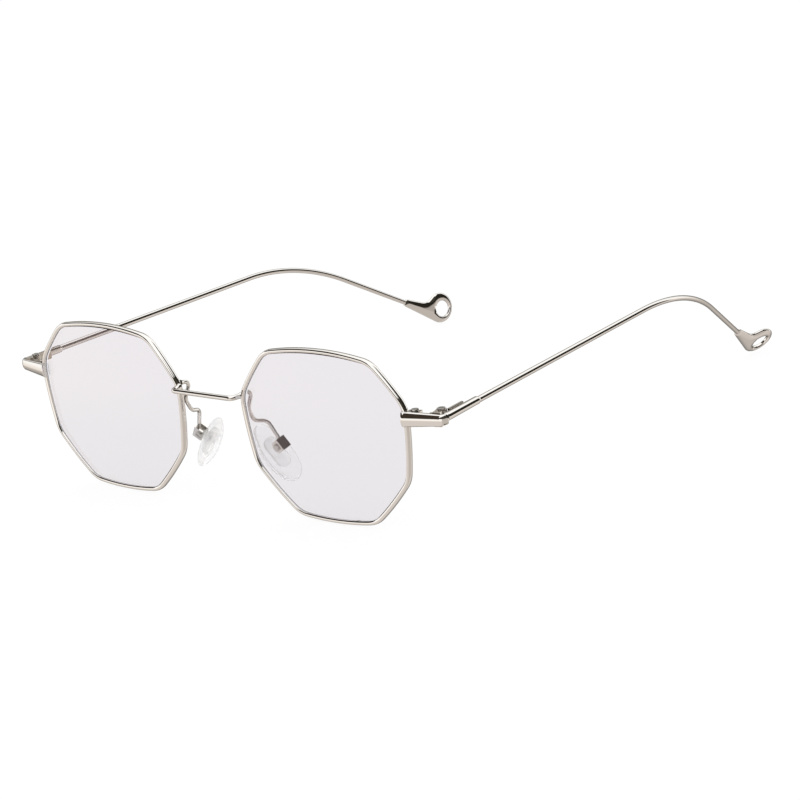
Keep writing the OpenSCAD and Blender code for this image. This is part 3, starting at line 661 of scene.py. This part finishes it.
for name, side in SIDES:
    tip_mesh("temple_tip_" + name + "_struck", side, "temple_" + name)

# %% [markdown]
# The pad arms are thin wire, brazed behind the rims, that loop back and swing down to the pad boxes.
# The loop lets an optician bend the pads to a nose. The same bent-wire helper makes them, with the
# largest bends that the short lengths allow.

# %% Nose pad arms
PAD = dict(at=(11.0, 8.63, -8.4), splay=33, turn=2, lean=10, l=15.5, w=8, t=2.4, screw_x=2.9, screw_z=0.8)
ARM = dict(r=0.45, bend=2.2, steps=12, braze=1.2, box_x=1.2, box_z=1.15)
ARM_POINTS = 20
pad_turned = turn(PAD["lean"], "X") @ turn(-PAD["splay"], "Y") @ turn(-PAD["turn"], "Z")


def on_pad(p):
    return pad_turned @ Vector(p) + Vector(PAD["at"])


# The corners of the arm's path, from the back of the rim to the pad box.
arm = [(10.4, 1.4, 8.5), (10.4, 4.3, 7.9), (10.6, 2.2, 4.2), (10.5, 3.6, 1.0), (11.4, 6.9, 0.0),
       on_pad((PAD["screw_x"] + ARM["box_x"], 0, PAD["screw_z"] + ARM["box_z"]))]
arm_path = even(fillet(arm, ARM["bend"], ARM["steps"]), PATH_GAP)
arm_r = [brazed(ARM["r"], (p - arm_path[0]).length, ARM["braze"]) for p in arm_path]
for name, side in SIDES:
    loft("pad_arm_" + name + "_wire", wire_rings(arm_path, arm_r, ARM_POINTS), side, "front",
         "frame_metal", ["pad_arm_" + name])
print("arm ends at", [round(c, 2) for c in arm_path[-1]])

# %% [markdown]
# Each nose pad is a drop of clear silicone moulded round a hard clear insert. It is widest a little
# below its middle and thins out to a soft round edge, so it is lofted as rings that grow from a small
# flat on the nose side to the full outline and shrink to another on the other side.

# %% Nose pads
PAD_RINGS, PAD_POINTS = 24, 48
PAD_TAPER = 0.14  # the share by which it is wider below and narrower above
ACROSS_POWER, ALONG_POWER = 0.92, 0.95  # 1 gives an ellipse, less a squarer outline
PAD_ROUND = 0.55  # the lower, the fuller the pad's edge


def pad_outline(t):
    """(across, along) of the pad's outline at an angle: wider below, narrower above."""
    c, s = math.cos(t), math.sin(t)
    half_w = PAD["w"] / 2 * (1 - PAD_TAPER * s)
    across = half_w * math.copysign(abs(c) ** ACROSS_POWER, c)
    along = PAD["l"] / 2 * math.copysign(abs(s) ** ALONG_POWER, s)
    return across, along


def pad_rings():
    outline = [pad_outline(2 * math.pi * j / PAD_POINTS) for j in range(PAD_POINTS)]
    rings = []
    for k in range(1, PAD_RINGS):
        t = math.pi * k / PAD_RINGS
        share, x = math.sin(t) ** PAD_ROUND, -math.cos(t) * PAD["t"] / 2
        rings.append([on_pad((x, across * share, along * share)) for across, along in outline])
    return rings


for name, side in SIDES:
    loft("nose_pad_" + name + "_silicone", pad_rings(), side, "pad_" + name, "pad_silicone",
         ["nose_pad_" + name])
print("pads are", PAD["l"], "mm long")

# %% [markdown]
# The small pieces keep their CAD shape: hinge plates and barrels, closing blocks, screws, pad boxes
# and the inserts of the pads. Real edges are never perfectly sharp, and only a rounded edge catches
# a highlight, so each gets a bevel. The widths are typical ones and not measured.

# %% Rounded edges
EDGE_MM = {"pad_box": 0.38, "hinge_front": 0.12, "hinge_rear": 0.12, "hinge_screw": 0.1,
           "lock_upper": 0.2, "lock_lower": 0.2, "lock_screw": 0.09, "pad_screw": 0.08, "pad_core": 0.08}
BEVEL_FROM, BEVEL_STEPS = math.radians(35), 4
bevelled = 0
for node, obj in frame["nodes"].items():
    kind = node.rsplit("_", 1)[0]
    if kind in EDGE_MM:
        bevel = obj.modifiers.new("tumbled", "BEVEL")
        bevel.width = EDGE_MM[kind] / PER_METRE
        bevel.segments = BEVEL_STEPS
        bevel.angle_limit = BEVEL_FROM
        obj.data.polygons.foreach_set("use_smooth", [True] * len(obj.data.polygons))
        obj.data.set_sharp_from_angle(angle=CRISP)
        bevelled += 1
print("pieces with rounded edges", bevelled)

# %% [markdown]
# Colours are written as the hex values a painter or a web page uses, and Blender wants them linear.
# One small function makes a node, sets it up and links it. Patterns lie in object coordinates, which
# are metres, so a noise scale of 160 gives patches about 1000 / 160 = 6 mm across.

# %% Colour and nodes
def hex_linear(text):
    """A hex colour as linear red, green and blue, by the curve of the sRGB standard, and alpha 1."""
    out = []
    for k in (1, 3, 5):
        v = int(text[k:k + 2], 16) / 255
        out.append(v / 12.92 if v <= 0.04045 else ((v + 0.055) / 1.055) ** 2.4)
    return (*out, 1)


def add(tree, kind, settings=None, links=None):
    """Adds a node; settings are attributes or input values, links are input: output socket."""
    node = tree.nodes.new(kind)
    for key, value in (settings or {}).items():
        if isinstance(key, str) and hasattr(node, key):
            setattr(node, key, value)
        else:
            node.inputs[key].default_value = value
    for key, socket in (links or {}).items():
        tree.links.new(socket, node.inputs[key])
    return node


def finish(name, **sockets):
    """A material whose shader inputs are set by their names, written small with underscores."""
    material = bpy.data.materials.new(name)
    material.use_nodes = True
    tree = material.node_tree
    shader = tree.nodes["Principled BSDF"]
    for key, value in sockets.items():
        shader.inputs[key.replace("_", " ").title().replace("Ior", "IOR")].default_value = value
    return material, tree, shader


# %% [markdown]
# The frame is taken to be nickel silver with a polished plating like rhodium: a warm silver mirror.
# Hand polishing leaves soft patches and slight waves, so the roughness varies a little and the
# reflections are not quite even.

# %% Polished silver plating
PATCHES, WAVES = 160, 110  # patches about 6 mm across, waves about 9 mm
plating, tree, shader = finish("polished_silver_plating", base_color=hex_linear("#D9D6D2"),
                               metallic=1, roughness=0.04)
shader.inputs["Specular Tint"].default_value = hex_linear("#BDB8B2")
where = add(tree, "ShaderNodeTexCoord")
patches = add(tree, "ShaderNodeTexNoise", {"Scale": PATCHES, "Detail": 3},
              {"Vector": where.outputs["Object"]})
rough = add(tree, "ShaderNodeMapRange", {"To Min": 0.02, "To Max": 0.06}, {"Value": patches.outputs["Fac"]})
tree.links.new(rough.outputs["Result"], shader.inputs["Roughness"])
waves = add(tree, "ShaderNodeTexNoise", {"Scale": WAVES, "Detail": 1}, {"Vector": where.outputs["Object"]})
bump = add(tree, "ShaderNodeBump", {"Strength": 0.12, "Distance": 0.0001}, {"Height": waves.outputs["Fac"]})
tree.links.new(bump.outputs["Normal"], shader.inputs["Normal"])
print("made", plating.name)

# %% [markdown]
# The hinges are taken to be bare nickel silver, brushed and not plated. To the eye they are a duller,
# warmer grey than the frame, with soft highlights. The brushing lies level, so its grain is squeezed
# nine times in Z. Real brushing is finer, and it is drawn coarser here so that it can show.

# %% Bare nickel silver of the hinges
GRAIN = 900  # grain about 1.1 mm long and 0.12 mm high
nickel, tree, shader = finish("brushed_nickel_silver", base_color=hex_linear("#B9B2A8"),
                              metallic=1, roughness=0.25)
where = add(tree, "ShaderNodeTexCoord")
squeezed = add(tree, "ShaderNodeMapping", {"Scale": (1, 1, 9)}, {"Vector": where.outputs["Object"]})
lines = add(tree, "ShaderNodeTexNoise", {"Scale": GRAIN, "Detail": 3},
            {"Vector": squeezed.outputs["Vector"]})
rough = add(tree, "ShaderNodeMapRange", {"To Min": 0.16, "To Max": 0.34}, {"Value": lines.outputs["Fac"]})
tree.links.new(rough.outputs["Result"], shader.inputs["Roughness"])
print("made", nickel.name)

# %% [markdown]
# The screws are taken to be turned from stainless steel. The lathe leaves marks that are too fine for
# the render, so they are drawn coarser, at 0.4 mm. To the eye they only break up the highlight.

# %% Turned steel of the screws
TURNING = 2600  # marks about 0.4 mm apart
steel, tree, shader = finish("turned_steel", base_color=hex_linear("#C6C3BE"), metallic=1, roughness=0.18)
where = add(tree, "ShaderNodeTexCoord")
marks = add(tree, "ShaderNodeTexNoise", {"Scale": TURNING, "Detail": 1}, {"Vector": where.outputs["Object"]})
bump = add(tree, "ShaderNodeBump", {"Strength": 0.08, "Distance": 0.00002}, {"Height": marks.outputs["Fac"]})
tree.links.new(bump.outputs["Normal"], shader.inputs["Normal"])
print("made", steel.name)

# %% [markdown]
# The lenses are taken to be clear plastic, polished and given a thin coat against reflections. To the
# eye they have a very faint grey tint, and the white sheet behind them goes a little greyer.

# %% Clear lens
COAT_NM, COAT_IOR = 320, 1.38  # the coat's thickness and refraction
lens, tree, shader = finish("coated_clear_lens", base_color=hex_linear("#E8E6E9"), roughness=0, ior=1.5)
shader.inputs["Transmission Weight"].default_value = 1
shader.inputs["Thin Film Thickness"].default_value = COAT_NM
shader.inputs["Thin Film IOR"].default_value = COAT_IOR
print("made", lens.name)

# %% [markdown]
# The pads are taken to be moulded silicone with a hard clear insert. In the photograph they are so
# clear that most light goes straight through, so their alpha is low, and what is left gives the
# highlights and a faint cloudy skin.

# %% Clear silicone and the hard insert
CLOUDS = 300  # clouds about 3 mm across
silicone, tree, shader = finish("clear_silicone", base_color=hex_linear("#F6F6F7"), roughness=0.12,
                                ior=1.41, alpha=0.3)
shader.inputs["Transmission Weight"].default_value = 1
where = add(tree, "ShaderNodeTexCoord")
cloud = add(tree, "ShaderNodeTexNoise", {"Scale": CLOUDS, "Detail": 2}, {"Vector": where.outputs["Object"]})
rough = add(tree, "ShaderNodeMapRange", {"To Min": 0.06, "To Max": 0.2}, {"Value": cloud.outputs["Fac"]})
tree.links.new(rough.outputs["Result"], shader.inputs["Roughness"])
insert, tree, shader = finish("clear_hard_insert", base_color=hex_linear("#EFEFEF"), roughness=0.05,
                              ior=1.5, alpha=0.35)
shader.inputs["Transmission Weight"].default_value = 1
print("made", silicone.name, "and", insert.name)

# %% [markdown]
# Each CAD piece names the material slot that it belongs to, and each finer piece was given a slot
# when it was made. So a finish is looked up by its slot, and can be changed in one place.

# %% Give each slot its finish
FINISH = {"frame_metal": plating, "hinge_metal": nickel, "screw_steel": steel, "lens_clear": lens,
          "pad_silicone": silicone, "pad_insert": insert}
node_slot = {s["node"]: s["material_slot"] for s in frame["record"]["subparts"]}
for node, obj in frame["nodes"].items():
    obj.data.materials.clear()
    obj.data.materials.append(FINISH[node_slot[node]])
for obj in bpy.data.objects:
    if "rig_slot" in obj:
        obj.data.materials.append(FINISH[obj["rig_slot"]])

# %% [markdown]
# The pair stands on a white sheet that fades into a white background. Most of the sheet's look is
# its own even light and the rest is lit like paper, so the contact shadow stays faint. Rays that
# left a mirror surface pass through the sheet, so the metal can mirror a studio made for it.

# %% Floor
FLOOR_SIZE, FLOOR_DROP = 4, 0.0002  # metres
GLOW, GLOW_SHARE = 1.02, 0.88  # the sheet's own light, and how much of its look that makes


def mirrored_rays(tree):
    """1 for a ray that left a mirror surface. Rays bent by a lens count as glossy too, so they go."""
    ray = add(tree, "ShaderNodeLightPath")
    return add(tree, "ShaderNodeMath", {"operation": "SUBTRACT", "use_clamp": True},
               {0: ray.outputs["Is Glossy Ray"], 1: ray.outputs["Is Transmission Ray"]}).outputs[0]


bpy.ops.mesh.primitive_plane_add(size=FLOOR_SIZE, location=(0, 0, -FLOOR_DROP))
floor = bpy.context.object
floor.name = "floor"
paper = bpy.data.materials.new("white_paper")
paper.use_nodes = True
tree = paper.node_tree
tree.nodes.clear()
glow = add(tree, "ShaderNodeEmission", {"Color": (GLOW, GLOW, GLOW, 1), "Strength": 1.0})
diffuse = add(tree, "ShaderNodeBsdfDiffuse", {"Color": (1, 1, 1, 1)})
sheet = add(tree, "ShaderNodeMixShader", {0: GLOW_SHARE}, {1: diffuse.outputs[0], 2: glow.outputs[0]})
through = add(tree, "ShaderNodeBsdfTransparent")
blend = add(tree, "ShaderNodeMixShader", None,
            {0: mirrored_rays(tree), 1: sheet.outputs[0], 2: through.outputs[0]})
add(tree, "ShaderNodeOutputMaterial", None, {"Surface": blend.outputs[0]})
floor.data.materials.append(paper)
print("floor", FLOOR_SIZE, "m wide")

# %% [markdown]
# Polished metal shows nothing but its surroundings, so the studio round it matters. It starts as
# levels by height: a table that is warm near the object and brighter further out, and white walls.
# Only mirrored rays will see it. All other rays see an even white, so nothing else changes.

# %% Levels of the studio
world = bpy.data.worlds.new("studio")
bpy.context.scene.world = world
world.use_nodes = True
tree = world.node_tree
tree.nodes.clear()
way = add(tree, "ShaderNodeTexCoord").outputs["Generated"]
height = add(tree, "ShaderNodeSeparateXYZ", None, {0: way}).outputs["Z"]
spread = add(tree, "ShaderNodeMapRange", {"From Min": -1, "From Max": 1}, {"Value": height})
room = add(tree, "ShaderNodeValToRGB", None, {"Fac": spread.outputs["Result"]})
# The height that a ray points to, from -1 straight down to 1 straight up, its colour and brightness.
LEVELS = [(-0.32, "#F7EFE9", 1.0), (-0.26, "#FFF9F2", 1.35), (0.0, "#FFFFFF", 1.5), (0.1, "#FFFFFF", 1.5)]
stops = room.color_ramp.elements
while len(stops) < len(LEVELS):
    stops.new(0.5)
for stop, (place, tint, bright) in zip(stops, LEVELS):
    stop.position = (place + 1) / 2
    stop.color = [c * bright for c in hex_linear(tint)[:3]] + [1]
print("levels", len(LEVELS))

# %% [markdown]
# A photographer puts dark cards beside polished metal to draw dark lines along it. Here are a grey
# card, a beige one and three dark ones, fitted to the one view of the photograph. Each is a patch of
# directions with a few edges. An edge is a direction, and how far along it a ray must point for the
# card to start to show and to be fully there.

# %% Cards of the studio
CARDS = {
    "grey, far behind": ("#BDBCBA", [
        ((-0.659, 0.693, -0.292), 0.58, 0.76)]),
    "beige, low on the right": ("#DCD4CD", [
        ((0.616, -0.788, 0), -0.02, 0.04), ((0.866, 0.5, 0), -0.05, 0.1), ((0, 0, -1), -0.04, 0.02)]),
    "black, behind on the right": ("#2E2B24", [
        ((-0.208, 0.978, 0), -0.02, 0.04), ((0.914, -0.407, 0), -0.02, 0.04),
        ((-0.085, 0.314, 1), -0.02, 0.02), ((-0.3, 0.216, -1), -0.88, -0.82)]),
    "dark, round the camera": ("#45423A", [
        ((0.985, -0.174, 0), -0.02, 0.04), ((0.242, -0.97, 0), -0.04, 0.02),
        ((0, 0, 1), -0.03, 0.02), ((0.28, 0.289, -1), -0.63, -0.57)]),
    "brown, in front on the left": ("#453B33", [
        ((-0.996, 0.087, 0), 0.0, 0.06), ((0, -1, 0), -0.12, -0.04),
        ((0.4, -0.17, 1), -0.03, 0.03), ((0, 0, -1), -0.86, -0.8)])}
# The mix node's inputs 0, 6 and 7 are its factor and two colours, and its output 2 is a colour.
view = room.outputs["Color"]
for shade, planes in CARDS.values():
    cover = None
    for direction, start, full in planes:
        along = add(tree, "ShaderNodeVectorMath", {"operation": "DOT_PRODUCT", 1: direction}, {0: way})
        inside = add(tree, "ShaderNodeMapRange", {"From Min": start, "From Max": full},
                     {"Value": along.outputs["Value"]}).outputs[0]
        if cover is None:
            cover = inside
        else:
            cover = add(tree, "ShaderNodeMath", {"operation": "MULTIPLY"}, {0: cover, 1: inside}).outputs[0]
    view = add(tree, "ShaderNodeMix", {"data_type": "RGBA", 7: hex_linear(shade)},
               {0: cover, 6: view}).outputs[2]
reflected = add(tree, "ShaderNodeBackground", {"Strength": 1.0}, {"Color": view})
plain = add(tree, "ShaderNodeBackground", {"Color": (1, 1, 1, 1), "Strength": 1.0})
choose = add(tree, "ShaderNodeMixShader", None,
             {0: mirrored_rays(tree), 1: plain.outputs[0], 2: reflected.outputs[0]})
add(tree, "ShaderNodeOutputWorld", None, {"Surface": choose.outputs[0]})
print("cards", list(CARDS))

# %% [markdown]
# The photograph was taken from the wearer's left front, a little above, with a long lens held
# slightly turned. The camera's place was found by fitting both rims' outlines.

# %% Camera
AZIMUTH, ELEVATION, ROLL = 43.554, 17.076, 8.084
# Millimetres from the point looked at, that point, and the focal length in pixels of the picture.
DISTANCE, TARGET, FOCAL_PX = 730, (59.582, 0, 11.964), 3360.991
PICTURE_PX, SENSOR = 800, 36
a, e, r = (math.radians(v) for v in (AZIMUTH, ELEVATION, ROLL))
back = Vector((math.sin(a) * math.cos(e), -math.cos(a) * math.cos(e), math.sin(e)))
right = Vector((math.cos(a), math.sin(a), 0))
up = back.cross(right)
turned_right = right * math.cos(r) - up * math.sin(r)
turned_up = right * math.sin(r) + up * math.cos(r)
pose = Matrix((turned_right, turned_up, back)).transposed().to_4x4()
pose.translation = (Vector(TARGET) + back * DISTANCE) / PER_METRE
camera_data = bpy.data.cameras.new("camera")
camera = bpy.data.objects.new("camera", camera_data)
bpy.context.scene.collection.objects.link(camera)
camera.matrix_world = REST @ pose
camera_data.sensor_width = SENSOR
camera_data.lens = FOCAL_PX / PICTURE_PX * SENSOR
camera_data.clip_start, camera_data.clip_end = 0.01, 20
bpy.context.scene.camera = camera
bpy.context.scene.view_settings.view_transform = "Standard"
print("lens", round(camera_data.lens, 1), "mm")
